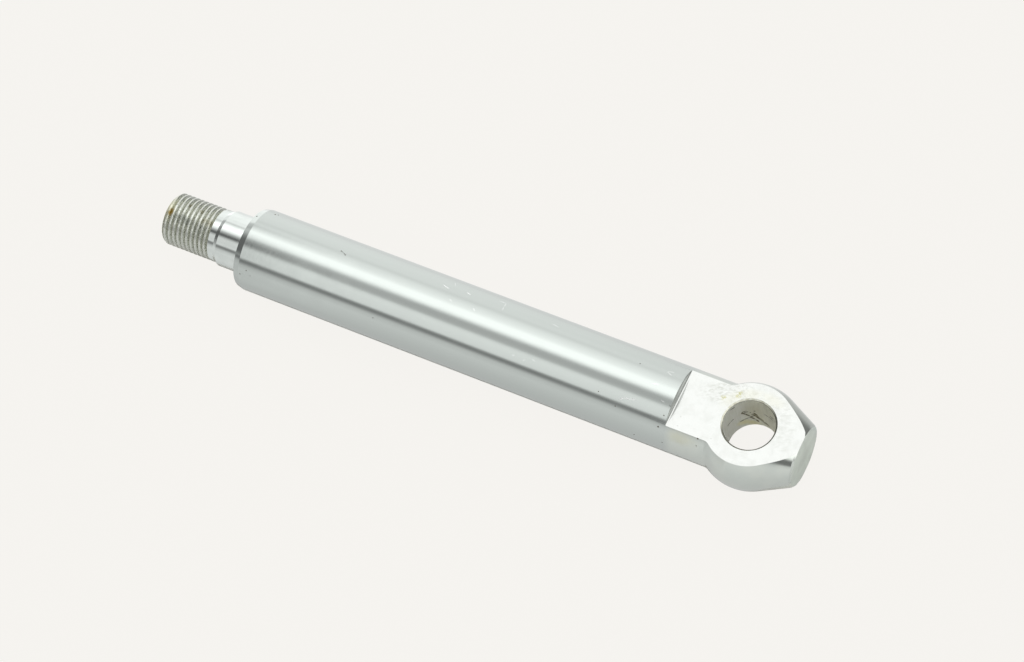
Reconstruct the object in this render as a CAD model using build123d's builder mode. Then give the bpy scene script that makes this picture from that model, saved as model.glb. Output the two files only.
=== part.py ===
# Chrome piston rod of a small hydraulic cylinder, turned and milled from one bar.
# One end is a shouldered spigot and a threaded stud for the piston and its nut.
# The other end is a ball, milled flat on two sides and bored across to make the rod's eye.
#
# Frame, in millimetres: the origin is the centre of the eye's bore, +X runs along the rod's
# axis towards the eye's end, and +Z is square to the milled flats. The rod lies along X.
from build123d import *
from math import asin, cos, degrees, radians, sin, tan
import os

# Rod between the two ends
rod_diameter = 25.0
shoulder_to_bore = 160.6  # from the piston's seat face to the axis of the eye's bore

# Lead-in taper that carries the seals over the shoulder
lead_length = 1.9
lead_drop = 0.44  # how far the taper falls below the rod's surface, on the radius

# Spigot for the piston, and the conical step down to the stud
spigot_diameter = 17.1
spigot_length = 8.4
step_length = 1.2

# Threaded stud, measured over the crests; the thread itself is too fine for the solid
stud_diameter = 15.9
stud_length = 18.0
stud_chamfer = 0.9

# Ball of the eye, and the cone that runs off it to the end face
ball_diameter = 30.4
neck_radius = 3.0  # turned fillet between the rod and the ball
nose_length = 15.8  # from the bore's axis to the end face
nose_angle = 26.6  # slope of the cone, in degrees from the rod's axis
nose_chamfer = 0.5

# Milled flats
eye_thickness = 17.2
flat_length = 21.4  # from the bore's axis back to the square step in the rod
cutter_corner = 0.6  # corner radius left by the cutter in the step

# Bore for the clevis pin
bore_diameter = 14.8
bore_chamfer = 0.5

rod_radius = rod_diameter / 2
spigot_radius = spigot_diameter / 2
stud_radius = stud_diameter / 2
ball_radius = ball_diameter / 2
half_thickness = eye_thickness / 2

# Stations along the axis
shoulder = -shoulder_to_bore
spigot_end = shoulder - spigot_length
stud_start = spigot_end - step_length
stud_end = stud_start - stud_length

# Where the ball meets the rod, and where the cone leaves the ball at a tangent
rod_meets_ball = -(ball_radius**2 - rod_radius**2) ** 0.5
meeting_angle = 180 - degrees(asin(rod_radius / ball_radius))
tangent_angle = 90 - nose_angle
cone_start = ball_radius * cos(radians(tangent_angle))
cone_radius = ball_radius * sin(radians(tangent_angle))
chamfer_station = nose_length - nose_chamfer
chamfer_radius = cone_radius - (chamfer_station - cone_start) * tan(radians(nose_angle))

mill_clearance = 2.0  # how far the milling cut runs past the ball and the end face

os.makedirs("parts", exist_ok=True)


with BuildPart() as piston_rod:
    # Turning: half of the rod's section, spun about the axis
    with BuildSketch(Plane.XZ) as section:
        with BuildLine():
            Polyline(
                (rod_meets_ball, rod_radius),
                (shoulder + lead_length, rod_radius),
                (shoulder, rod_radius - lead_drop),
                (shoulder, spigot_radius),
                (spigot_end, spigot_radius),
                (stud_start, stud_radius),
                (stud_end + stud_chamfer, stud_radius),
                (stud_end, stud_radius - stud_chamfer),
                (stud_end, 0),
                (nose_length, 0),
                (nose_length, chamfer_radius - nose_chamfer),
                (chamfer_station, chamfer_radius),
                (cone_start, cone_radius),
            )
            CenterArc((0, 0), ball_radius, tangent_angle, meeting_angle - tangent_angle)
        make_face()
        neck = section.vertices().sort_by_distance((rod_meets_ball, rod_radius))[0]
        fillet(neck, neck_radius)
    revolve(axis=Axis.X)

    # Milling: one flat above and one below, each ending in a square step with the cutter's corner
    with BuildSketch(Plane.XZ) as milling_path:
        with Locations((-flat_length, half_thickness)):
            Rectangle(
                flat_length + nose_length + mill_clearance,
                ball_radius - half_thickness + mill_clearance,
                align=(Align.MIN, Align.MIN),
            )
        step_corner = milling_path.vertices().sort_by_distance((-flat_length, half_thickness))[0]
        fillet(step_corner, cutter_corner)
        mirror(about=Plane.XZ)
    extrude(amount=ball_radius + mill_clearance, both=True, mode=Mode.SUBTRACT)

    # Boring: straight through both flats, with a chamfer at each mouth
    Hole(radius=bore_diameter / 2)
    mouths = piston_rod.edges(Select.LAST).filter_by(GeomType.CIRCLE)
    chamfer(mouths, bore_chamfer)

piston_rod.part.label = "piston_rod"
export_step(piston_rod.part, "parts/piston_rod.step")
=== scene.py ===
import bpy
import functools
import math
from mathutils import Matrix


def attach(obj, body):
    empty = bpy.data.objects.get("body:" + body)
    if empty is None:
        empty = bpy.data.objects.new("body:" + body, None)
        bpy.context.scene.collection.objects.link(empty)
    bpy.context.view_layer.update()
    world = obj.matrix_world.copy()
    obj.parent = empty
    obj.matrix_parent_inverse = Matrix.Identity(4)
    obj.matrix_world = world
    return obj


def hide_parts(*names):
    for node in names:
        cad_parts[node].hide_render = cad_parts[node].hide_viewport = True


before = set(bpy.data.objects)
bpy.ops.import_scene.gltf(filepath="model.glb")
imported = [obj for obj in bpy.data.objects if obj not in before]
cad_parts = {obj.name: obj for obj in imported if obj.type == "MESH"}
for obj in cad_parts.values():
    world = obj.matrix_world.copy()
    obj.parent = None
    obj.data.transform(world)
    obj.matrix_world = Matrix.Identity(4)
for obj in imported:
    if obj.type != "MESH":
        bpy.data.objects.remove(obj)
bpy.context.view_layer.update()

# A chromed piston rod of a small hydraulic cylinder, lying on a pale floor.
# X runs along the rod towards the eye, Z stands square to the milled flats, and the origin
# is the middle of the eye's bore. Blender works in metres, and all tables here are in millimetres.
mm = 0.001
nearly = 0.001  # millimetres within which two places are taken as the same


def linearColour(hexText):
    parts = [int(hexText[i:i + 2], 16) / 255 for i in (1, 3, 5)]
    parts = [p / 12.92 if p <= 0.04045 else ((p + 0.055) / 1.055) ** 2.4 for p in parts]
    return (*parts, 1.0)


# Nodes that the world and the materials are made of: the kind, its settings, its inputs in the order
# in which their values are given, and the output that is read
nodeForms = {
    "objectPlace": ("ShaderNodeTexCoord", {}, (), "Object"),
    "worldDirection": ("ShaderNodeTexCoord", {}, (), "Generated"),
    "cameraRay": ("ShaderNodeLightPath", {}, (), "Is Camera Ray"),
    "glassRay": ("ShaderNodeLightPath", {}, (), "Is Transmission Ray"),
    "mirrorRay": ("ShaderNodeLightPath", {}, (), "Is Glossy Ray"),
    "partX": ("ShaderNodeSeparateXYZ", {}, (0,), "X"),
    "partY": ("ShaderNodeSeparateXYZ", {}, (0,), "Y"),
    "partZ": ("ShaderNodeSeparateXYZ", {}, (0,), "Z"),
    "combine": ("ShaderNodeCombineXYZ", {}, (0, 1), 0),
    "add": ("ShaderNodeMath", {"operation": "ADD"}, (0, 1), 0),
    "multiply": ("ShaderNodeMath", {"operation": "MULTIPLY"}, (0, 1), 0),
    "maximum": ("ShaderNodeMath", {"operation": "MAXIMUM"}, (0, 1), 0),
    "absolute": ("ShaderNodeMath", {"operation": "ABSOLUTE"}, (0,), 0),
    "arctan2": ("ShaderNodeMath", {"operation": "ARCTAN2"}, (0, 1), 0),
    "vectorAdd": ("ShaderNodeVectorMath", {"operation": "ADD"}, (0, 1), 0),
    "vectorSubtract": ("ShaderNodeVectorMath", {"operation": "SUBTRACT"}, (0, 1), 0),
    "vectorMultiply": ("ShaderNodeVectorMath", {"operation": "MULTIPLY"}, (0, 1), 0),
    "vectorDivide": ("ShaderNodeVectorMath", {"operation": "DIVIDE"}, (0, 1), 0),
    "vectorScale": ("ShaderNodeVectorMath", {"operation": "SCALE"}, (0, "Scale"), 0),
    "vectorLength": ("ShaderNodeVectorMath", {"operation": "LENGTH"}, (0,), "Value"),
    "turnPattern": ("ShaderNodeMapping", {"vector_type": "POINT"}, ("Vector", "Rotation"), 0),
    "setPattern": (
        "ShaderNodeMapping", {"vector_type": "TEXTURE"}, ("Vector", "Location", "Rotation", "Scale"), 0),
    "mapRange": ("ShaderNodeMapRange", {"interpolation_type": "SMOOTHSTEP"}, (0, 1, 2, 3, 4), 0),
    "ramp": ("ShaderNodeValToRGB", {}, (0,), 0),
    "radialGradient": ("ShaderNodeTexGradient", {"gradient_type": "RADIAL"}, (0,), "Fac"),
    "ballGradient": ("ShaderNodeTexGradient", {"gradient_type": "SPHERICAL"}, (0,), "Fac"),
    "noise": ("ShaderNodeTexNoise", {}, ("Vector", "Scale", "Detail"), "Fac"),
    "noiseColour": ("ShaderNodeTexNoise", {}, ("Vector", "Scale", "Detail"), "Color"),
    "mixValue": ("ShaderNodeMix", {"data_type": "FLOAT"}, (0, 2, 3), 0),
    "mixColour": ("ShaderNodeMix", {"data_type": "RGBA"}, (0, 6, 7), 2),
    "mixShader": ("ShaderNodeMixShader", {}, (0, 1, 2), 0),
    "bump": ("ShaderNodeBump", {}, ("Height", "Distance", "Normal"), 0),
    "background": ("ShaderNodeBackground", {}, ("Color", "Strength"), 0),
    "emission": ("ShaderNodeEmission", {}, ("Color", "Strength"), 0),
    "diffuse": ("ShaderNodeBsdfDiffuse", {}, ("Color",), 0),
    "transparent": ("ShaderNodeBsdfTransparent", {}, (), 0),
    "principled": ("ShaderNodeBsdfPrincipled", {}, ("Base Color", "Metallic", "Roughness", "Normal"), 0),
    "worldOutput": ("ShaderNodeOutputWorld", {}, ("Surface",), None),
    "materialOutput": ("ShaderNodeOutputMaterial", {}, ("Surface",), None),
}


def addNode(tree, form, *values, stops=()):
    # A value is a socket, a number, a vector or a colour as hex text, and a ramp's stops are greys
    kind, settings, inputs, output = nodeForms[form]
    node = tree.nodes.new(kind)
    for name, setting in settings.items():
        setattr(node, name, setting)
    for key, value in zip(inputs, values):
        if isinstance(value, bpy.types.NodeSocket):
            tree.links.new(value, node.inputs[key])
        else:
            node.inputs[key].default_value = linearColour(value) if isinstance(value, str) else value
    for index, (position, grey) in enumerate(stops):
        elements = node.color_ramp.elements
        stop = elements[index] if index < 2 else elements.new(position)
        stop.position = position
        stop.color = (grey, grey, grey, 1.0)
    return None if output is None else node.outputs[output]


def startMaterial(name):
    # Gives the material, and what adds a node to it
    material = bpy.data.materials.new(name)
    material.use_nodes = True
    material.node_tree.nodes.clear()
    return material, functools.partial(addNode, material.node_tree)


def plainRays(node):
    # 1 for rays straight from the camera or through glass, and 0 for the rest
    return node("maximum", node("cameraRay"), node("glassRay"))


# Camera, at the photograph's place and lens
cameraValues = {
    "place": (203.05, -287.35, 783.97),
    "turn": (25.892, 8.932, 26.122),  # degrees about X, Y and Z
    "lens": 108.33,
    "sensor": 36,
    "clip": (0.01, 50),  # metres
}


def addCamera(values):
    bpy.ops.object.camera_add(
        location=[v * mm for v in values["place"]],
        rotation=[math.radians(a) for a in values["turn"]],
    )
    camera = bpy.context.object
    camera.name = "photoCamera"
    camera.data.lens = values["lens"]
    camera.data.sensor_width = values["sensor"]
    camera.data.sensor_fit = "HORIZONTAL"
    camera.data.clip_start, camera.data.clip_end = values["clip"]
    bpy.context.scene.camera = camera
    bpy.context.scene.view_settings.view_transform = "Standard"


# Studio that the metal mirrors: long pale panels beside the rod, told by the angle round its axis.
# 0 is level on the near side, 90 straight up, 180 level behind, and below zero is the floor.
studio = {
    "backdrop": "#F6F4F0",
    "panels": (
        # floor behind the rod, under it, and on the near side
        (-180, 1.20), (-160, 1.12), (-150, 1.00), (-130, 0.88), (-115, 0.80), (-95, 0.60),
        (-78, 0.645), (-62, 0.70), (-30, 0.79),
        # near wall, and the dark slot above it
        (0, 0.89), (13, 0.80), (18, 0.56), (21, 0.38), (26, 0.29), (30, 0.50), (34, 1.07),
        # side panel, and the gap between it and the softbox
        (40, 1.12), (57, 1.19), (63, 1.12), (69, 0.72), (75, 0.64), (83, 0.64), (88, 0.90),
        # softbox overhead, and the rear wall
        (93, 1.42), (99, 1.72), (112, 1.74), (120, 1.48), (136, 1.26), (146, 1.06), (155, 1.16),
        (180, 1.20),
    ),
    # Places along the rod where the panels give way to something else: from and to are the mirrored
    # direction's share of X, and around is how much of the change each angle takes
    "ends": (
        # the panels are closer, and so brighter, by the stud
        {"from": -0.36, "to": -0.392, "level": 2.00,
         "around": ((-50, 0), (-30, 0.06), (2, 0.06), (14, 0), (26, 0), (35, 0.14), (54, 0.17),
                    (64, 0.13), (84, 0.13), (98, 0.02), (108, 0))},
        # gaps that open between the panels near the stud
        {"from": -0.393, "to": -0.399, "level": 0.15,
         "around": ((-45, 0), (-10, 0.22), (20, 0.22), (27, 0.4), (36, 0.4), (44, 0.46), (60, 0.46),
                    (67, 0.65), (72, 1), (77, 1), (83, 0.6), (90, 0.34), (99, 0.25), (108, 0),
                    (122, 0.2), (130, 0.48), (138, 0.12), (145, 0))},
        # pale wall behind, past the stud
        {"from": -0.43, "to": -0.54, "level": 1.45,
         "around": ((-180, 0.9), (-130, 0.9), (-112, 0), (145, 0), (152, 0.85), (163, 1), (180, 0.9))},
        # which is duller at its end
        {"from": -0.66, "to": -0.74, "level": 1.00,
         "around": ((-180, 1), (-140, 1), (-120, 0), (165, 0), (175, 1), (180, 1))},
        # open and dark above it and on the near side
        {"from": -0.47, "to": -0.58, "level": 0.20,
         "around": ((28, 0), (35, 0.75), (45, 1), (85, 1), (94, 0.88), (104, 0.76), (112, 0.62),
                    (119, 0.41), (125, 0.25), (130, 0.21), (136, 0.27), (141, 0.33), (150, 0))},
        # and darker straight along the rod
        {"from": -0.80, "to": -0.90, "level": 0.13,
         "around": ((-180, 0.5), (-165, 0), (-30, 0), (-9, 0.5), (5, 0.66), (23, 0.5), (40, 0.9),
                    (97, 1), (120, 0.75), (149, 0.6), (165, 0.7), (180, 0.7))},
        # the rear wall falls off towards the eye
        {"from": -0.40, "to": 0.10, "level": 0.60,
         "around": ((-180, 1), (-128, 1), (-105, 0), (150, 0), (170, 1), (180, 1))},
        # dark corner behind the eye
        {"from": 0.10, "to": 0.34, "level": 0.25,
         "around": ((-180, 1), (-158, 1), (-148, 0), (150, 0), (164, 1), (180, 1))},
        # the dark slot widens past the eye
        {"from": 0.45, "to": 0.57, "level": 0.20,
         "around": ((12, 0), (20, 1), (34, 1), (43, 0))},
        # a second softbox past the eye
        {"from": 0.50, "to": 0.62, "level": 1.50,
         "around": ((42, 0), (52, 1), (95, 1), (110, 0))},
        # and its end wall, straight along the rod
        {"from": 0.70, "to": 0.80, "level": 1.60,
         "around": ((15, 0), (26, 0.6), (100, 1), (170, 1), (180, 0))},
    ),
}


def setWorld(values):
    world = bpy.data.worlds.new("studio")
    bpy.context.scene.world = world
    world.use_nodes = True
    world.node_tree.nodes.clear()
    node = functools.partial(addNode, world.node_tree)
    direction = node("worldDirection")
    along = node("partX", direction)
    nearSide = node("multiply", node("partY", direction), -1.0)
    angle = node("radialGradient", node("combine", nearSide, node("partZ", direction)))
    # A ramp holds no more than 1, so it is given halves that are doubled after it
    panels = node("ramp", angle, stops=[(0.5 + a / 360, v / 2) for a, v in values["panels"]])
    level = node("multiply", panels, 2.0)
    for end in values["ends"]:
        reached = node("mapRange", along, end["from"], end["to"], 0.0, 1.0)
        taken = node("ramp", angle, stops=[(0.5 + a / 360, v) for a, v in end["around"]])
        level = node("mixValue", node("multiply", reached, taken), level, end["level"])
    lit = node("background", "#FFFFFF", level)
    # The camera sees the plain backdrop, and so would glass
    plain = node("background", values["backdrop"], 1.0)
    node("worldOutput", node("mixShader", plainRays(node), lit, plain))


# Floor: a plain pale sheet that keeps a faint shadow of the rod. The metal mirrors it close by,
# and further off it mirrors the studio's own floor levels.
floorValues = {
    "height": -12.5,
    "width": 8000,
    "colour": "#F6F4F0",
    "matt": "#E3E1DD",  # a little under the colour, because the panels light it at more than 1
    "plain": 0.97,  # share of the plain colour in what the camera sees, and the rest keeps the shadow
    "mirroredTo": 11,  # to either side of the rod's axis
    "goneAt": 15,
}


def addFloor(values):
    bpy.ops.mesh.primitive_plane_add(size=values["width"] * mm, location=(0, 0, 0))
    floor = bpy.context.object
    floor.name = "studioFloor"
    bpy.ops.object.mode_set(mode="EDIT")
    bpy.ops.transform.translate(value=(0, 0, values["height"] * mm))
    bpy.ops.object.mode_set(mode="OBJECT")
    material, node = startMaterial("paleStudioPaper")  # matt background paper
    matt = node("diffuse", values["matt"])
    plain = node("emission", values["colour"], 1.0)
    paper = node("mixShader", node("multiply", plainRays(node), values["plain"]), matt, plain)
    aside = node("absolute", node("partY", node("objectPlace")))
    away = node("mapRange", aside, values["mirroredTo"] * mm, values["goneAt"] * mm, 0.0, 1.0)
    passed = node("multiply", away, node("mirrorRay"))
    node("materialOutput", node("mixShader", passed, paper, node("transparent")))
    floor.data.materials.append(material)


# Sizes of the rod, the same as the CAD's
rodValues = {
    "rodRadius": 12.5,
    "shoulder": -160.6,
    "leadLength": 1.9,
    "leadDrop": 0.44,
    "edgeBreak": 0.1,  # on the shoulder's outer edge
    "spigotRadius": 8.55,
    "spigotEnd": -169.0,
    "studStart": -170.2,
    "threadEnd": -172.3,
    "studRadius": 7.95,
    "studEnd": -188.2,
    "studChamfer": 0.9,
    "chromeEnd": -21.15,  # the chrome stops just past the step of the flats
    "ballRadius": 15.2,
    "neckRadius": 3.0,
    "noseEnd": 15.8,
    "noseAngle": 26.6,
    "noseChamfer": 0.5,
    "segments": 360,
    "rings": 14,  # along the plain rod, so that no face is a needle
    "neckSteps": 8,
    "ballSteps": 36,
    "support": 0.3,  # rings this close to a round stretch keep the shading of its neighbours straight
    "smoothAngle": 9,  # sharper edges stay crisp: the lead-in taper meets the rod at 13 degrees
}
threadValues = {
    "pitch": 1.5,
    "grooveAtTop": -183.37,  # place of one groove on the stud's upper side
    "flankAngle": 30,
    "rootHalfWidth": 0.08,
    "rootDip": 0.03,  # how far the floor of the groove is hollowed
    "crestRounding": 0.3,
    "crestSteps": 6,
    "crestHalfWidth": 0.1,  # flat part of the crest that the rounding leaves
    "crestLift": 0.005,  # the rounding ends just above the crest, so that the cut has a clean edge
    "outerRadius": 8.09,
    "turns": 13,
    "endsAt": -171.5,
    "pullOutTurns": 0.45,  # the tool leaves the work over the last part of a turn
    "pullOut": 1.0,
    "stepsPerTurn": 120,
}
eyeValues = {
    "halfThickness": 8.6,
    "flatEnd": -21.4,
    "millSize": (45, 40, 10),  # the milling cut's block, which runs clear of the eye
    "cutterCorner": 0.35,  # 0.6 in the CAD, and here as fine as the bright line in the corner
    "cornerSegments": 12,
    "edgeBreak": 0.14,  # on the step's round edges
    "edgeSegments": 2,
    "boreRadius": 7.4,
    "boreChamfer": 0.5,
    "boreSegments": 256,
    "boreClear": 3,  # how far the boring tool runs past each mouth
}

# Marks are runs of points, each drawn in one width. Edge is how a mark fades in, where 0 is its
# outline and 1 its middle, and share is how strongly it covers what is under it at most.
# On the rod, a point is its place along the rod and its angle round it in degrees.
rodMarks = {
    "pits": (  # with the radius of the rim
        (-159.9, 117, 0.26), (-155.9, 135, 0.26), (-155.1, 137, 0.18), (-156.0, 36, 0.20),
        (-158.0, 27, 0.20), (-154.6, 30, 0.14), (-113.8, 38, 0.17), (-42.6, 54.5, 0.17),
        (-36.8, 44, 0.18), (-34.9, 110, 0.17), (-22.5, 55.7, 0.20), (-23.3, 38.3, 0.27),
        (-30.3, 8, 0.20), (-21.6, 14.8, 0.18), (-130.7, 110.5, 0.20), (-128.9, 106.5, 0.20),
        (-11.4, 42.6, 0.27), (-11.4, 31.7, 0.17),
    ),
    "pitDepth": 0.5,  # as a share of the radius
    "scratches": {
        "width": 0.36, "edge": (0.0, 0.5), "share": 1.0,
        "lines": (((-36.2, 54), (-35, 59), (-33, 60), (-31.8, 62)), ((-98.3, 119), (-95.8, 115)),
                  ((-90.8, 121), (-89.5, 119)))},
    "faintScratches": {
        "width": 0.3, "edge": (0.0, 0.6), "share": 0.45,
        "lines": (((-96, 133), (-95, 125)), ((-94, 100), (-93, 97)), ((-86.5, 100), (-85.5, 96)),
                  ((-81.5, 129), (-78.5, 129)), ((-79, 128), (-78.8, 120), (-78.5, 112)),
                  ((-64, 122), (-61, 120)), ((-70, 58), (-69.3, 60)), ((-66.5, 57), (-66, 59.5)),
                  ((-64, 63), (-63, 62)), ((-29, 89), (-27, 91)),
                  ((-25.0, 117), (-26.5, 115), (-26.6, 112), (-25, 110)),
                  ((-24.8, 73), (-23.4, 71.5)))},
    "gouges": {
        "width": 0.3, "edge": (0.0, 0.5), "share": 0.7,
        "lines": (((-130.7, 110.5), (-129.8, 109), (-128.9, 106.5)), ((-22.0, 70.5), (-21.3, 68.8)))},
    "film": {
        "width": 6.5, "edge": (0.0, 0.9), "share": 0.42,
        "lines": (((-20.5, 32), (-13.0, 35)),)},
}


# Patterns for the materials
def inMillimetres(node):
    return node("vectorScale", node("objectPlace"), 1 / mm)


def layFlat(node, place, radius):
    # A turned surface laid flat: along the axis, and round it from the near side
    nearSide = node("multiply", node("partY", place), -1.0)
    angle = node("arctan2", node("partZ", place), nearSide)
    return node("combine", node("partX", place), node("multiply", angle, radius))


def awayFromAxis(node, place):
    return node("vectorLength", node("vectorMultiply", place, (0.0, 1.0, 1.0)))


def layBoreFlat(node, place, radius):
    # The bore's wall laid flat: round the bore from the rod's axis, and up it
    angle = node("arctan2", node("partY", place), node("partX", place))
    return node("combine", node("multiply", angle, radius), node("partZ", place))


def drawGrain(node, place, size, detail=2.0, form="noise"):
    # Size is the width of a patch in millimetres, or its width along each axis
    if isinstance(size, tuple):
        place = node("vectorDivide", place, size)
        size = 1.0
    return node(form, place, 1 / size, detail)


def waver(node, place, size, reach):
    # Shifts a pattern about by a noise, so that its edges come out uneven
    centred = node("vectorSubtract", drawGrain(node, place, size, form="noiseColour"), (0.5, 0.5, 0.5))
    return node("vectorAdd", place, node("vectorScale", centred, reach))


def drawMarks(node, place, marks, unit=(1, 1), height=0.0):
    # A leg between two points is a thin ellipse, and a line of one point is a round spot. Unit is
    # what a step of a point's two numbers comes to in millimetres.
    width = marks["width"]
    whole = None
    for line in marks["lines"]:
        points = [(x * unit[0], y * unit[1]) for x, y in line]
        legs = list(zip(points, points[1:])) or [(points[0], points[0])]
        for (startX, startY), (endX, endY) in legs:
            length = math.hypot(endX - startX, endY - startY)
            middle = ((startX + endX) / 2, (startY + endY) / 2, height)
            turned = (0, 0, math.atan2(endY - startY, endX - startX))
            reach = ((length + width) / 2, width / 2, 1)
            leg = node("ballGradient", node("setPattern", place, middle, turned, reach))
            whole = leg if whole is None else node("maximum", whole, leg)
    return node("mapRange", whole, *marks["edge"], 0.0, marks["share"])


def finishMaterial(node, colour, roughness, bumps=(), metallic=1.0):
    # Bumps are heights with their depths in millimetres, the lowest first
    normal = []
    for height, depth in bumps:
        normal = [node("bump", height, depth * mm, *normal)]
    node("materialOutput", node("principled", colour, metallic, roughness, *normal))


# In the tables of finishes a grain is the width of its patches in millimetres, or their width along
# each axis, and its detail. A range is a grain's two levels and the two values that they come to.
# A wavering is the width of its bends and how far they reach, and a depth is a bump's.
chromeFinish = {
    "colour": "#C3C9C5",
    "haze": (5.0, 4.0),
    "roughness": (0.35, 0.65, 0.095, 0.13),
    "specks": (0.7, 3.0),
    "speckRange": (0.66, 0.74, 0.0, 0.22),
    "speckColour": "#E4E8E4",
    "lay": ((0.35, 9.0, 1.0), 2.0),  # a few hundredths of a millimetre wide, drawn ten times coarser
    "layDepth": 0.0012,
    "ripple": (1.0, 2.0),
    "rippleDepth": 0.003,
    "wavering": (0.8, 0.35),
    "scratchColour": "#FAFBFA",
    "scratchRoughness": 0.35,
    "scratchDepth": 0.01,
    "gougeColour": "#5E605A",
}


def makeHardChrome(values):
    # Hard chrome, plated and then ground round the rod: a cold bright mirror with a faint haze.
    # Handling scratches scatter the light, so they look pale.
    material, node = startMaterial("hardChrome")
    place = inMillimetres(node)
    radius = rodValues["rodRadius"]
    flat = layFlat(node, place, radius)
    uneven = waver(node, flat, *values["wavering"])
    unit = (1, math.radians(radius))
    bright = drawMarks(node, uneven, rodMarks["scratches"], unit)
    scratches = node("add", bright, drawMarks(node, uneven, rodMarks["faintScratches"], unit))
    gouges = drawMarks(node, uneven, rodMarks["gouges"], unit)
    specks = node("mapRange", drawGrain(node, flat, *values["specks"]), *values["speckRange"])
    colour = node("mixColour", specks, values["colour"], values["speckColour"])
    colour = node("mixColour", scratches, colour, values["scratchColour"])
    colour = node("mixColour", gouges, colour, values["gougeColour"])
    ground = node("mapRange", drawGrain(node, place, *values["haze"]), *values["roughness"])
    scratched = node("mapRange", scratches, 0.0, 1.0, 0.0, values["scratchRoughness"])
    ripple = drawGrain(node, flat, *values["ripple"])
    lay = drawGrain(node, flat, *values["lay"])
    bumps = ((ripple, values["rippleDepth"]), (lay, values["layDepth"]), (scratches, values["scratchDepth"]))
    finishMaterial(node, colour, node("add", ground, scratched), bumps)
    return material


spigotFinish = {
    "colour": "#E0E6E2",
    "cloud": (2.5, 4.0),
    "cloudRange": (0.4, 0.7, 0.0, 0.5),
    "cloudColour": "#D4DAD6",
    "roughness": (0.3, 0.7, 0.035, 0.055),
    "rings": ((0.25, 20.0, 1.0), 2.0),
    "ringDepth": 0.001,
}


def makePolishedSteel(values):
    # Steel of the spigot, fine turned and polished: a clearer and brighter mirror than the chrome
    material, node = startMaterial("polishedSteel")
    place = inMillimetres(node)
    rings = drawGrain(node, layFlat(node, place, rodValues["spigotRadius"]), *values["rings"])
    cloud = drawGrain(node, place, *values["cloud"])
    clouded = node("mapRange", cloud, *values["cloudRange"])
    colour = node("mixColour", clouded, values["colour"], values["cloudColour"])
    roughness = node("mapRange", cloud, *values["roughness"])
    finishMaterial(node, colour, roughness, ((rings, values["ringDepth"]),))
    return material


ballFinish = {
    "colour": "#D2D7D0",
    "cloud": (6.0, 4.0),
    "cloudRange": (0.35, 0.7, 0.0, 1.0),
    "cloudColour": "#CCD2CC",
    "roughness": (0.3, 0.7, 0.12, 0.16),
    "rings": ((0.4, 25.0, 1.0), 3.0),  # the tool's rings are about 0.1 mm apart, and drawn at 0.4
    "ringDepth": 0.0025,
    "wavering": (2.0, 2.0),
    "filmColour": "#C3C2A6",
    "platedLength": 2.5,  # the chrome's tone runs out over this length
    "platedShare": 0.8,
}


def makeTurnedSteel(values):
    # Bare steel of the ball and the cone, turned and polished: brighter and warmer than the chrome,
    # with the tool's rings faintly left in it and a film of oil on its near side
    material, node = startMaterial("turnedSteel")
    place = inMillimetres(node)
    radius = rodValues["rodRadius"]
    flat = layFlat(node, place, radius)
    rings = drawGrain(node, flat, *values["rings"])
    cloud = drawGrain(node, place, *values["cloud"])
    uneven = waver(node, flat, *values["wavering"])
    film = drawMarks(node, uneven, rodMarks["film"], (1, math.radians(radius)))
    start = rodValues["chromeEnd"]
    end = start + values["platedLength"]
    plated = node("mapRange", node("partX", place), start, end, values["platedShare"], 0.0)
    clouded = node("mapRange", cloud, *values["cloudRange"])
    colour = node("mixColour", clouded, values["colour"], values["cloudColour"])
    colour = node("mixColour", film, colour, values["filmColour"])
    colour = node("mixColour", plated, colour, chromeFinish["colour"])
    roughness = node("mapRange", cloud, *values["roughness"])
    finishMaterial(node, colour, roughness, ((rings, values["ringDepth"]),))
    return material


# The milled flat, and the marks on it: places along the rod and across it
flatFinish = {
    "colour": "#C5C7C4",
    "wavering": (1.2, 1.4),
    "cutterLean": -25,  # degrees by which the cutter's smears are turned
    "smears": ((1.3, 0.6, 5.0), 5.0),
    "smearRange": (0.42, 0.68, 0.0, 0.5),
    "smearColour": "#A6A8A0",
    "smearDepth": 0.0005,
    "patches": (2.5, 3.0),
    "patchRange": (0.4, 0.75, 0.0, 0.16),
    "roughness": (0.3, 0.7, 0.10, 0.15),
    "brokenOil": ((0.5, 0.3, 5.0), 3.0),
    "brokenRange": (0.42, 0.6, 0.1, 1.0),
    "rearWear": {
        "width": 9.0, "edge": (0.05, 0.5), "share": 1.0,
        "lines": (((-15, 4.5), (-2, 9)),)},
    "frontWear": {
        "width": 9.0, "edge": (0.05, 0.5), "share": 0.45,
        "lines": (((3, 9), (9.5, 6)), ((9, 4), (11, -2)))},
    "rimTint": {
        "width": 5.0, "edge": (0.0, 0.8), "share": 0.25, "colour": "#BEBCA4",
        "lines": (((-9, 3.5), (-6, 7.5), (0, 9.6), (6, 8.5)),)},
    "oil": {
        "width": 2.0, "edge": (0.0, 0.7), "share": 0.75, "colour": "#A5A264",
        "lines": (((-6.4, 6.6), (-5.9, 8.0)), ((-10.0, 4.8),))},
    "specks": {
        "width": 0.5, "edge": (0.1, 0.7), "share": 0.6, "colour": "#77754F",
        "lines": (((-10.0, 4.7),), ((-6.3, 7.6),))},
    "dots": {
        "width": 0.6, "edge": (0.1, 0.8), "share": 0.35, "colour": "#8F9088",
        "lines": (((-8, -7.8),), ((-18.5, -5),), ((-18.2, -7.8),))},
}


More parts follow.
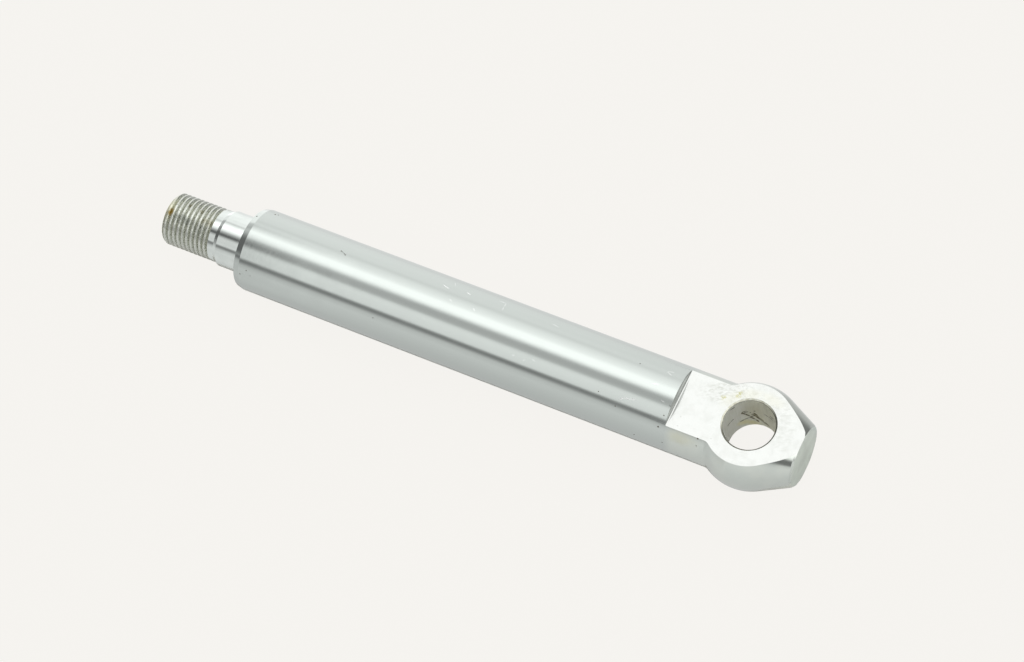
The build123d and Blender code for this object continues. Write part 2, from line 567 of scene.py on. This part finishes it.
def makeMilledFlat(values):
    # Face-milled steel: nearly white under the softbox. Short smeared cutter marks show behind the
    # bore, and fainter in front of it. Old oil tints the rim and stands in two spots.
    material, node = startMaterial("milledSteel")
    place = inMillimetres(node)
    top = eyeValues["halfThickness"]
    uneven = waver(node, place, *values["wavering"])
    turned = node("turnPattern", place, (0, 0, math.radians(values["cutterLean"])))
    smears = drawGrain(node, turned, *values["smears"])
    patches = drawGrain(node, place, *values["patches"])
    rearWear = drawMarks(node, uneven, values["rearWear"], height=top)
    worn = node("add", rearWear, drawMarks(node, uneven, values["frontWear"], height=top))
    strongSmears = node("multiply", node("mapRange", smears, *values["smearRange"]), worn)
    faintSmears = node("mapRange", patches, *values["patchRange"])
    smeared = node("add", faintSmears, strongSmears)
    rimTint = drawMarks(node, uneven, values["rimTint"], height=top)
    broken = node("mapRange", drawGrain(node, turned, *values["brokenOil"]), *values["brokenRange"])
    oil = node("multiply", broken, drawMarks(node, uneven, values["oil"], height=top))
    specks = drawMarks(node, place, values["specks"], height=top)
    dots = drawMarks(node, place, values["dots"], height=top)
    colour = node("mixColour", smeared, values["colour"], values["smearColour"])
    for share, marks in ((rimTint, "rimTint"), (oil, "oil"), (specks, "specks"), (dots, "dots")):
        colour = node("mixColour", share, colour, values[marks]["colour"])
    roughness = node("mapRange", patches, *values["roughness"])
    finishMaterial(node, colour, roughness, ((smears, values["smearDepth"]),))
    return material


stepFinish = {
    "colour": "#A4A8A4",
    "lines": ((1.0, 7.0, 0.7), 3.0),
    "lineRange": (0.4, 0.62, 0.0, 1.0),
    "lineColour": "#6E716C",
    "lineDepth": 0.001,
    "roughness": 0.2,
}


def makeMilledStep(values):
    # Side-milled wall of the step: the cutter's passes leave lines along it
    material, node = startMaterial("sideMilledSteel")
    lines = drawGrain(node, inMillimetres(node), *values["lines"])
    lined = node("mapRange", lines, *values["lineRange"])
    colour = node("mixColour", lined, values["colour"], values["lineColour"])
    finishMaterial(node, colour, values["roughness"], ((lines, values["lineDepth"]),))
    return material


facedFinish = {
    "colour": "#C9D3CC",
    "cloud": (3.0, 5.0),
    "cloudRange": (0.35, 0.65, 0.0, 1.0),
    "cloudColour": "#C0CAC3",
    "middleRange": (1.0, 5.0, 0.35, 0.0),  # by the distance from the axis
    "middleColour": "#A4ADA6",
    "rings": (0.3, 3.0),
    "ringDepth": 0.002,
    "roughness": 0.3,
}


def makeFacedEnd(values):
    # Faced end: fine rings round the axis in a soft grey sheen, a little darker in the middle
    material, node = startMaterial("facedSteel")
    place = inMillimetres(node)
    radius = awayFromAxis(node, place)
    rings = drawGrain(node, node("combine", radius), *values["rings"])
    clouded = node("mapRange", drawGrain(node, place, *values["cloud"]), *values["cloudRange"])
    middle = node("mapRange", radius, *values["middleRange"])
    colour = node("mixColour", clouded, values["colour"], values["cloudColour"])
    colour = node("mixColour", middle, colour, values["middleColour"])
    finishMaterial(node, colour, values["roughness"], ((rings, values["ringDepth"]),))
    return material


# The bore's wall, and the stains on it in the order in which they lie over each other: degrees
# round it from the rod's axis, and height
boreFinish = {
    # painted light: the wall's colours are near white to make up for its shade
    "colour": "#FBFDFB",
    "warmRange": (-6.5, 0.0, 0.0, 1.0),  # by the place along the rod
    "warmColour": "#FAFAEE",
    "streaks": ((0.6, 6.0, 1.0), 3.0),
    "streakRange": (0.4, 0.65, 0.0, 0.22),
    "streakColour": "#D4D7CC",
    "cloud": (3.0, 4.0),
    "cloudRange": (0.4, 0.7, 0.0, 0.12),
    "cloudColour": "#D2D2C0",
    "rings": ((14.0, 0.3, 1.0), 3.0),
    "ringDepth": 0.004,
    "roughness": 0.45,
    "wavering": (0.9, 0.6),
    "stains": (
        # old grease
        {"width": 9.0, "edge": (0.0, 0.8), "share": 0.34, "colour": "#BFBD9F",
         "lines": (((112, 5.0), (112, -2.0)),)},
        # oil by the lower rim
        {"width": 4.5, "edge": (0.0, 0.8), "share": 0.6, "colour": "#F4EEBC",
         "lines": (((142, -4.6), (124, -6.0), (108, -7.4)),)},
        # scuffs
        {"width": 0.65, "edge": (0.0, 0.5), "share": 0.75, "colour": "#66665A",
         "lines": (((143, -4.0), (132, -3.6), (121, -3.2)), ((156, 0.4), (166, 0.3), (179, 0.8)),
                   ((85, 0.6), (75, 0.3), (59, 1.2)), ((71, 1.6), (54, 3.2)),
                   ((148, 6.9), (161, 7.1)))},
        # smear beside the scores
        {"width": 1.6, "edge": (0.0, 0.7), "share": 0.7, "colour": "#70673C",
         "lines": (((112, -0.6), (100, -3.2), (91, -5.3), (80, -6.3)),)},
        # scores that the pin cut
        {"width": 0.65, "edge": (0.0, 0.5), "share": 0.95, "colour": "#54481F",
         "lines": (((136, 1.1), (131, 0.0), (125, -0.8)), ((135, 1.3), (132, 1.4), (126, 1.6)),
                   ((117, 0.1),), ((107, 1.0),), ((121, -2.8), (108, -4.7), (101, -6.1)),
                   ((119, -3.3), (116, -3.4)), ((128, -0.4), (120, -2.2), (112, -3.0)),
                   ((110, -0.2), (103, -1.6)), ((131, 0.6), (122, 0.9)),
                   ((116, -1.2), (106, -2.6), (99, -4.2)))},
    ),
}


def makeBoredWall(values):
    # Bored steel, dulled by old grease and scored by the pin. It stands in its own shade and looks an olive
    # grey there, so its colours are written pale: a painted brightening that stands in for the light that
    # hardly reaches the wall.
    material, node = startMaterial("boredSteel")
    place = inMillimetres(node)
    radius = eyeValues["boreRadius"]
    flat = layBoreFlat(node, place, radius)
    uneven = waver(node, flat, *values["wavering"])
    rings = drawGrain(node, flat, *values["rings"])
    warmed = node("mapRange", node("partX", place), *values["warmRange"])
    streaked = node("mapRange", drawGrain(node, flat, *values["streaks"]), *values["streakRange"])
    clouded = node("mapRange", drawGrain(node, place, *values["cloud"]), *values["cloudRange"])
    colour = node("mixColour", warmed, values["colour"], values["warmColour"])
    colour = node("mixColour", streaked, colour, values["streakColour"])
    colour = node("mixColour", clouded, colour, values["cloudColour"])
    for marks in values["stains"]:
        share = drawMarks(node, uneven, marks, (math.radians(radius), 1))
        colour = node("mixColour", share, colour, marks["colour"])
    finishMaterial(node, colour, values["roughness"], ((rings, values["ringDepth"]),))
    return material


mouthFinish = {
    "colour": "#F2F3E8",
    "cloud": (1.2, 3.0),
    "cloudRange": (0.35, 0.7, 0.0, 1.0),
    "cloudColour": "#D9D8C6",
    # painted shade: the rim is darkened towards the eye, on its near side, and along its lower edge
    "aheadRange": (3.0, 6.5, 0.0, 0.8),  # by the place along the rod
    "aheadShadeColour": "#5A5A4E",
    "nearRange": (-1.5, -5.0, 0.0, 0.75),  # by the place across it
    "nearShadeColour": "#6E6E64",
    "edgeShadeWidth": 0.16,
    "edgeShadeColour": "#3E3D33",
    "roughness": 0.62,
}


def makeBoreMouth(values):
    # Countersunk rim, dull from the tool, with painted shade on two sides, towards the eye and on the near
    # side, and along its lower edge where it turns into the bore
    material, node = startMaterial("countersunkSteel")
    place = inMillimetres(node)
    clouded = node("mapRange", drawGrain(node, place, *values["cloud"]), *values["cloudRange"])
    aheadShade = node("mapRange", node("partX", place), *values["aheadRange"])
    near = node("mapRange", node("partY", place), *values["nearRange"])
    low = eyeValues["halfThickness"] - eyeValues["boreChamfer"]
    height = node("absolute", node("partZ", place))
    edge = node("mapRange", height, low, low + values["edgeShadeWidth"], 1.0, 0.0)
    colour = node("mixColour", clouded, values["colour"], values["cloudColour"])
    # painted shade on two sides of the rim and along its lower edge
    colour = node("mixColour", aheadShade, colour, values["aheadShadeColour"])
    colour = node("mixColour", near, colour, values["nearShadeColour"])
    colour = node("mixColour", edge, colour, values["edgeShadeColour"])
    finishMaterial(node, colour, values["roughness"])
    return material


# The thread, and the residue on it: places along the stud and degrees round it
threadFinish = {
    "wavering": (0.8, 1.2),
    "grain": ((0.7, 0.5, 0.5), 4.0),
    "grainRange": (0.42, 0.68, 0.0, 0.6),
    "rootDirtAndShadeColour": "#A7A696",
    "specks": (0.6, 2.0),
    "speckRange": (0.53, 0.63, 0.0, 0.7),
    "speckColour": "#5E6149",
    "clots": (1.1, 4.0),
    "clotRange": (0.4, 0.6, 0.1, 0.65),
    "dulledRoughness": (0.0, 0.6, 0.0, 0.35),
    "sealantMetallic": 0.3,
    "sealant": {
        "width": 2.4, "edge": (0.1, 0.75), "share": 1.0, "colour": "#8F7B3A",
        "lines": (((-186.4, 74), (-186.2, 88)),)},
    "film": {
        "width": 4.5, "edge": (0.0, 0.8), "share": 0.35, "colour": "#CFC99C",
        "lines": (((-187.2, 60), (-187.6, 118)),)},
    "oil": {
        "width": 2.2, "edge": (0.1, 0.8), "share": 0.5, "colour": "#7F7954",
        "lines": (((-177.5, 107),), ((-175.4, 84), (-175.2, 92)), ((-182, 112),),
                  ((-173.5, 80), (-173.2, 92)))},
    "dull": {
        "width": 4.5, "edge": (0.0, 0.7), "share": 1.0, "colour": "#A3A79E",
        "lines": (((-185, 76), (-179, 70), (-173, 62)),)},
}
# What its groove and its crest have of their own. The groove's colours are written paler than the crest's, a
# painted brightening against the shade in the groove, and the crest's darker, which tones down its
# highlights. The root is darkened between two distances from the axis, which is dirt and painted shade, and
# this lies in the groove only.
grooveFinish = {
    "clean": "#DCDFD5", "dirty": "#B3B5A7", "roughness": (0.3, 0.7, 0.44, 0.6), "grainDepth": 0.02,
    "dirt": (7.2, 7.45),
}
crestFinish = {
    "clean": "#D0D3CB", "dirty": "#ABADA2", "roughness": (0.3, 0.7, 0.21, 0.37), "grainDepth": 0.015,
    "dirt": (6.9, 7.0),
}


def makeThreadSteel(name, values, own):
    # Cut thread with oil and swarf in it: bright where the tool cut last, olive and dull where dirt holds,
    # with specks of dirt down in its grooves and old sealant by its end. The root of the groove is darkened
    # by dirt and by painted shade.
    material, node = startMaterial(name)
    place = inMillimetres(node)
    radius = rodValues["studRadius"]
    uneven = waver(node, layFlat(node, place, radius), *values["wavering"])
    unit = (1, math.radians(radius))
    sealant, film, oil, dull = [
        drawMarks(node, uneven, values[marks], unit) for marks in ("sealant", "film", "oil", "dull")]
    grain = drawGrain(node, place, *values["grain"])
    dirty = node("mapRange", grain, *values["grainRange"])
    deepDirtAndShade = node("mapRange", awayFromAxis(node, place), *own["dirt"], 1.0, 0.0)
    clots = node("mapRange", drawGrain(node, place, *values["clots"]), *values["clotRange"])
    dulled = node("multiply", dull, clots)
    specks = node("mapRange", drawGrain(node, place, *values["specks"]), *values["speckRange"])
    colour = node("mixColour", dirty, own["clean"], own["dirty"])
    # dirt and painted shade at the root of the groove
    colour = node("mixColour", deepDirtAndShade, colour, values["rootDirtAndShadeColour"])
    colour = node("mixColour", film, colour, values["film"]["colour"])
    colour = node("mixColour", oil, colour, values["oil"]["colour"])
    colour = node("mixColour", dulled, colour, values["dull"]["colour"])
    colour = node("mixColour", node("multiply", specks, deepDirtAndShade), colour, values["speckColour"])
    colour = node("mixColour", sealant, colour, values["sealant"]["colour"])
    torn = node("mapRange", grain, *own["roughness"])
    roughness = node("add", torn, node("mapRange", dulled, *values["dulledRoughness"]))
    metallic = node("mapRange", sealant, 0.0, 1.0, 1.0, values["sealantMetallic"])
    finishMaterial(node, colour, roughness, ((grain, own["grainDepth"]),), metallic)
    return material


rustFinish = {
    "colour": "#5A574E",
    "grain": (0.15, 2.0),
    "grainColour": "#8A857A",
    "roughness": 0.6,
    "metallic": 0.5,
}


def makePitRust(values):
    # Rust at the bottom of a pit: dark, dry and matt
    material, node = startMaterial("pitRust")
    grain = drawGrain(node, inMillimetres(node), *values["grain"])
    colour = node("mixColour", grain, values["colour"], values["grainColour"])
    finishMaterial(node, colour, values["roughness"], metallic=values["metallic"])
    return material


# Modelling
def drawOutline(name, points, closed=False):
    # One vertex is pulled along the outline, a leg at a time
    bpy.ops.object.select_all(action="DESELECT")
    bpy.ops.mesh.primitive_plane_add(size=mm, location=(0, 0, 0))
    piece = bpy.context.object
    piece.name = name
    bpy.ops.object.mode_set(mode="EDIT")
    bpy.ops.mesh.select_mode(type="VERT")
    bpy.ops.mesh.select_all(action="SELECT")
    bpy.ops.mesh.merge(type="CENTER")
    bpy.ops.transform.translate(value=[v * mm for v in points[0]])
    legs = list(zip(points, points[1:]))
    if closed:
        legs.append((points[-1], points[0]))
    for start, end in legs:
        leg = [(e - s) * mm for s, e in zip(start, end)]
        bpy.ops.mesh.extrude_vertices_move(TRANSFORM_OT_translate={"value": leg})
    bpy.ops.mesh.select_all(action="SELECT")
    bpy.ops.mesh.remove_doubles(threshold=nearly * mm)
    return piece


def turn(name, points, steps, axis):
    piece = drawOutline(name, points)
    bpy.ops.mesh.select_all(action="SELECT")
    bpy.ops.mesh.spin(steps=steps, angle=2 * math.pi, center=(0, 0, 0), axis=axis)
    bpy.ops.mesh.select_all(action="SELECT")
    bpy.ops.mesh.remove_doubles(threshold=2 * nearly * mm)
    bpy.ops.mesh.normals_make_consistent(inside=False)
    bpy.ops.object.mode_set(mode="OBJECT")
    return piece


def cutAway(piece, cutter):
    # What a tool cuts takes the tool's materials
    bpy.ops.object.select_all(action="DESELECT")
    bpy.context.view_layer.objects.active = piece
    piece.select_set(True)
    cut = piece.modifiers.new("cut", "BOOLEAN")
    cut.operation = "DIFFERENCE"
    cut.solver = "EXACT"
    cut.material_mode = "TRANSFER"
    cut.object = cutter
    bpy.ops.object.modifier_apply(modifier="cut")
    bpy.data.objects.remove(cutter)


def arcPoints(middle, radius, first, last, count):
    angles = [math.radians(first + (last - first) * k / count) for k in range(count + 1)]
    return [(middle[0] + radius * math.cos(a), middle[1] + radius * math.sin(a)) for a in angles]


def rodOutline(values):
    rod = values["rodRadius"]
    ball = values["ballRadius"]
    neck = values["neckRadius"]
    support = values["support"]
    neckMiddle = (-math.sqrt((ball + neck) ** 2 - (rod + neck) ** 2), rod + neck)
    ballStart = math.degrees(math.atan2(neckMiddle[1], neckMiddle[0]))
    tangent = 90 - values["noseAngle"]
    slope = math.tan(math.radians(values["noseAngle"]))
    coneStart = ball * math.cos(math.radians(tangent))
    coneRadius = ball * math.sin(math.radians(tangent))
    chamferStart = values["noseEnd"] - values["noseChamfer"]
    chamferRadius = coneRadius - (chamferStart - coneStart) * slope
    plainStart = values["shoulder"] + values["leadLength"]
    plainLength = values["chromeEnd"] - plainStart
    rings = values["rings"]
    outline = [
        (values["studEnd"], 0),
        (values["studEnd"], values["studRadius"] - values["studChamfer"]),
        (values["studEnd"] + values["studChamfer"], values["studRadius"]),
        (values["threadEnd"], values["studRadius"]),
        (values["studStart"], values["studRadius"]),
        (values["spigotEnd"], values["spigotRadius"]),
        (values["shoulder"], values["spigotRadius"]),
        (values["shoulder"], rod - values["leadDrop"] - values["edgeBreak"]),
        (values["shoulder"] + values["edgeBreak"], rod - values["leadDrop"]),
    ]
    outline += [(plainStart + plainLength * k / rings, rod) for k in range(rings + 1)]
    outline.append((neckMiddle[0] - support, rod))
    outline += arcPoints(neckMiddle, neck, 270, ballStart + 180, values["neckSteps"])
    outline += arcPoints((0, 0), ball, ballStart, tangent, values["ballSteps"])[1:]
    outline += [
        (coneStart + support, coneRadius - support * slope),
        (chamferStart, chamferRadius),
        (values["noseEnd"], chamferRadius - values["noseChamfer"]),
        (values["noseEnd"], 0),
    ]
    return [(x, 0, r) for x, r in outline]


def dressBlank(piece, values, materials):
    # The turned surfaces, told apart by their place along the rod
    near = 0.01
    names = ("facedSteel", "threadCrestSteel", "polishedSteel", "hardChrome", "turnedSteel")
    for name in names:
        piece.data.materials.append(materials[name])
    for face in piece.data.polygons:
        x = face.center.x / mm
        if x < values["studEnd"] + near or x > values["noseEnd"] - near:
            name = "facedSteel"
        elif x < values["threadEnd"]:
            name = "threadCrestSteel"
        elif x < values["shoulder"] + near:
            name = "polishedSteel"
        elif x < values["chromeEnd"]:
            name = "hardChrome"
        else:
            name = "turnedSteel"
        face.material_index = names.index(name)


def flatCutter(values, side, materials):
    # An end mill's block with a rounded lower corner
    length, width, height = values["millSize"]
    middle = (values["flatEnd"] + length / 2, 0, side * (values["halfThickness"] + height / 2))
    bpy.ops.object.select_all(action="DESELECT")
    bpy.ops.mesh.primitive_cube_add(size=1, location=[v * mm for v in middle])
    cutter = bpy.context.object
    cutter.name = "flatTool"
    cutter.scale = (length * mm, width * mm, height * mm)
    bpy.ops.object.transform_apply(location=True, rotation=True, scale=True)
    for edge in cutter.data.edges:
        ends = [cutter.data.vertices[i].co / mm for i in edge.vertices]
        edge.select = all(
            abs(e.x - values["flatEnd"]) < nearly and abs(abs(e.z) - values["halfThickness"]) < nearly
            for e in ends
        )
    for face in cutter.data.polygons:
        face.select = False
    bpy.ops.object.mode_set(mode="EDIT")
    bpy.ops.mesh.select_mode(type="EDGE")
    corner = values["cutterCorner"] * mm
    bpy.ops.mesh.bevel(offset=corner, segments=values["cornerSegments"], affect="EDGES")
    bpy.ops.object.mode_set(mode="OBJECT")
    cutter.data.materials.append(materials["milledSteel"])
    cutter.data.materials.append(materials["sideMilledSteel"])
    upright = 0.85  # the wall, and the steep part of the corner below it
    for face in cutter.data.polygons:
        face.material_index = 1 if abs(face.normal.x) > upright else 0
    return cutter


def boreCutter(values, materials):
    # A boring bar's sweep, with a countersink at each mouth
    wall = values["halfThickness"] - values["boreChamfer"]
    radius = values["boreRadius"]
    clear = values["boreClear"]
    outline = [
        (0, 0, -wall - clear),
        (radius + clear, 0, -wall - clear),
        (radius, 0, -wall),
        (radius, 0, wall),
        (radius + clear, 0, wall + clear),
        (0, 0, wall + clear),
    ]
    cutter = turn("boreTool", outline, values["boreSegments"], (0, 0, 1))
    cutter.data.materials.append(materials["boredSteel"])
    cutter.data.materials.append(materials["countersunkSteel"])
    for face in cutter.data.polygons:
        face.material_index = 0 if abs(face.center.z) < wall * mm else 1
    return cutter


def threadSection(values):
    # The groove: floor, flanks, and the rounding up to the crest on both sides. The rounding's
    # places in the section come with it.
    crest = rodValues["studRadius"]
    rounding = values["crestRounding"]
    rootHalf = values["rootHalfWidth"]
    flank = values["flankAngle"]
    middle = (values["pitch"] / 2 - values["crestHalfWidth"], crest + values["crestLift"] - rounding)
    arc = arcPoints(middle, rounding, 180 - flank, 90, values["crestSteps"])
    arcX, arcRadius = arc[0]
    root = arcRadius - (arcX - rootHalf) / math.tan(math.radians(flank))
    half = [(0, root - values["rootDip"]), (rootHalf, root)] + arc + [(middle[0], values["outerRadius"])]
    section = [(-x, r) for x, r in reversed(half[1:])] + half
    rounded = [k for k, (x, r) in enumerate(section) if r > arcRadius - nearly]
    return section, rounded


def threadCutter(values, materials):
    # The groove's section wound along the stud, right-handed
    pitch = values["pitch"]
    turnsBefore = values["turns"] - round((values["endsAt"] - values["grooveAtTop"]) / pitch)
    start = values["grooveAtTop"] - turnsBefore * pitch
    section, rounded = threadSection(values)
    coil = drawOutline("threadTool", [(start + x, 0, r) for x, r in section], closed=True)
    bpy.ops.object.mode_set(mode="OBJECT")
    screw = coil.modifiers.new("screw", "SCREW")
    screw.axis = "X"
    screw.angle = 2 * math.pi
    screw.screw_offset = pitch * mm
    screw.iterations = values["turns"]
    screw.steps = values["stepsPerTurn"]
    screw.render_steps = values["stepsPerTurn"]
    bpy.ops.object.modifier_apply(modifier="screw")
    lastSteps = round(values["pullOutTurns"] * values["stepsPerTurn"])
    allSteps = values["turns"] * values["stepsPerTurn"]
    perStep = len(section)
    for index, vertex in enumerate(coil.data.vertices):
        step = index // perStep
        out = values["pullOut"] * max(0.0, (step - (allSteps - lastSteps)) / lastSteps)
        radius = math.hypot(vertex.co.y, vertex.co.z)
        grown = 1 + out * mm / radius
        vertex.co.y *= grown
        vertex.co.z *= grown
    bpy.ops.object.mode_set(mode="EDIT")
    bpy.ops.mesh.select_all(action="DESELECT")
    bpy.ops.mesh.select_non_manifold()
    bpy.ops.mesh.fill_holes(sides=0)
    bpy.ops.mesh.select_all(action="SELECT")
    bpy.ops.mesh.normals_make_consistent(inside=False)
    bpy.ops.object.mode_set(mode="OBJECT")
    coil.data.materials.append(materials["cutThreadSteel"])
    coil.data.materials.append(materials["threadCrestSteel"])
    for face in coil.data.polygons:
        face.material_index = int(all(k % perStep in rounded for k in face.vertices))
    return coil


def breakStepEdges(piece, values):
    # The round edges of the two steps are broken a little, and catch the light
    near = 0.01
    rod = rodValues["rodRadius"]
    piece.data.polygons.foreach_set("select", [False] * len(piece.data.polygons))
    piece.data.vertices.foreach_set("select", [False] * len(piece.data.vertices))
    for edge in piece.data.edges:
        ends = [piece.data.vertices[i].co / mm for i in edge.vertices]
        edge.select = all(
            abs(e.x - values["flatEnd"]) < near and abs(math.hypot(e.y, e.z) - rod) < 2 * near
            for e in ends
        )
    bpy.ops.object.mode_set(mode="EDIT")
    bpy.ops.mesh.select_mode(type="EDGE")
    bpy.ops.mesh.bevel(offset=values["edgeBreak"] * mm, segments=values["edgeSegments"], affect="EDGES")
    bpy.ops.object.mode_set(mode="OBJECT")


def pitCutter(marks, rod, materials):
    # One small ball for each pit, set so that its cap sinks into the surface
    bpy.ops.object.select_all(action="DESELECT")
    balls = []
    for x, angle, rim in marks["pits"]:
        depth = rim * marks["pitDepth"]
        ballRadius = (rim ** 2 + depth ** 2) / (2 * depth)
        onLead = max(0.0, 1 - (x - rod["shoulder"]) / rod["leadLength"])
        fromAxis = rod["rodRadius"] - rod["leadDrop"] * onLead + ballRadius - depth
        turned = math.radians(angle)
        middle = (x, -fromAxis * math.cos(turned), fromAxis * math.sin(turned))
        place = [v * mm for v in middle]
        bpy.ops.mesh.primitive_ico_sphere_add(subdivisions=3, radius=ballRadius * mm, location=place)
        balls.append(bpy.context.object)
    for ball in balls:
        ball.select_set(True)
    bpy.ops.object.join()
    bpy.ops.object.transform_apply(location=True, rotation=True, scale=True)
    cutter = bpy.context.object
    cutter.name = "pitTool"
    cutter.data.materials.append(materials["pitRust"])
    return cutter


addCamera(cameraValues)
setWorld(studio)
addFloor(floorValues)
print("camera, studio and floor are in place")

finishes = {material.name: material for material in (
    makeHardChrome(chromeFinish),
    makePolishedSteel(spigotFinish),
    makeTurnedSteel(ballFinish),
    makeMilledFlat(flatFinish),
    makeMilledStep(stepFinish),
    makeFacedEnd(facedFinish),
    makeBoredWall(boreFinish),
    makeBoreMouth(mouthFinish),
    makeThreadSteel("cutThreadSteel", threadFinish, grooveFinish),
    makeThreadSteel("threadCrestSteel", threadFinish, crestFinish),
    makePitRust(rustFinish),
)}
print("materials made:", len(finishes))

pistonRod = turn("pistonRod", rodOutline(rodValues), rodValues["segments"], (1, 0, 0))
dressBlank(pistonRod, rodValues, finishes)
print("blank turned:", len(pistonRod.data.polygons), "faces")
cutAway(pistonRod, flatCutter(eyeValues, 1, finishes))
cutAway(pistonRod, flatCutter(eyeValues, -1, finishes))
breakStepEdges(pistonRod, eyeValues)
cutAway(pistonRod, boreCutter(eyeValues, finishes))
print("flats and bore cut:", len(pistonRod.data.polygons), "faces")
cutAway(pistonRod, pitCutter(rodMarks, rodValues, finishes))
print("pits sunk:", len(pistonRod.data.polygons), "faces")
cutAway(pistonRod, threadCutter(threadValues, finishes))
print("thread cut:", len(pistonRod.data.polygons), "faces")
bpy.ops.object.select_all(action="DESELECT")
pistonRod.select_set(True)
bpy.context.view_layer.objects.active = pistonRod
bpy.ops.object.shade_smooth_by_angle(angle=math.radians(rodValues["smoothAngle"]))
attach(pistonRod, "root")
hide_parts("piston_rod")
print("rod finished:", [slot.name for slot in pistonRod.material_slots])
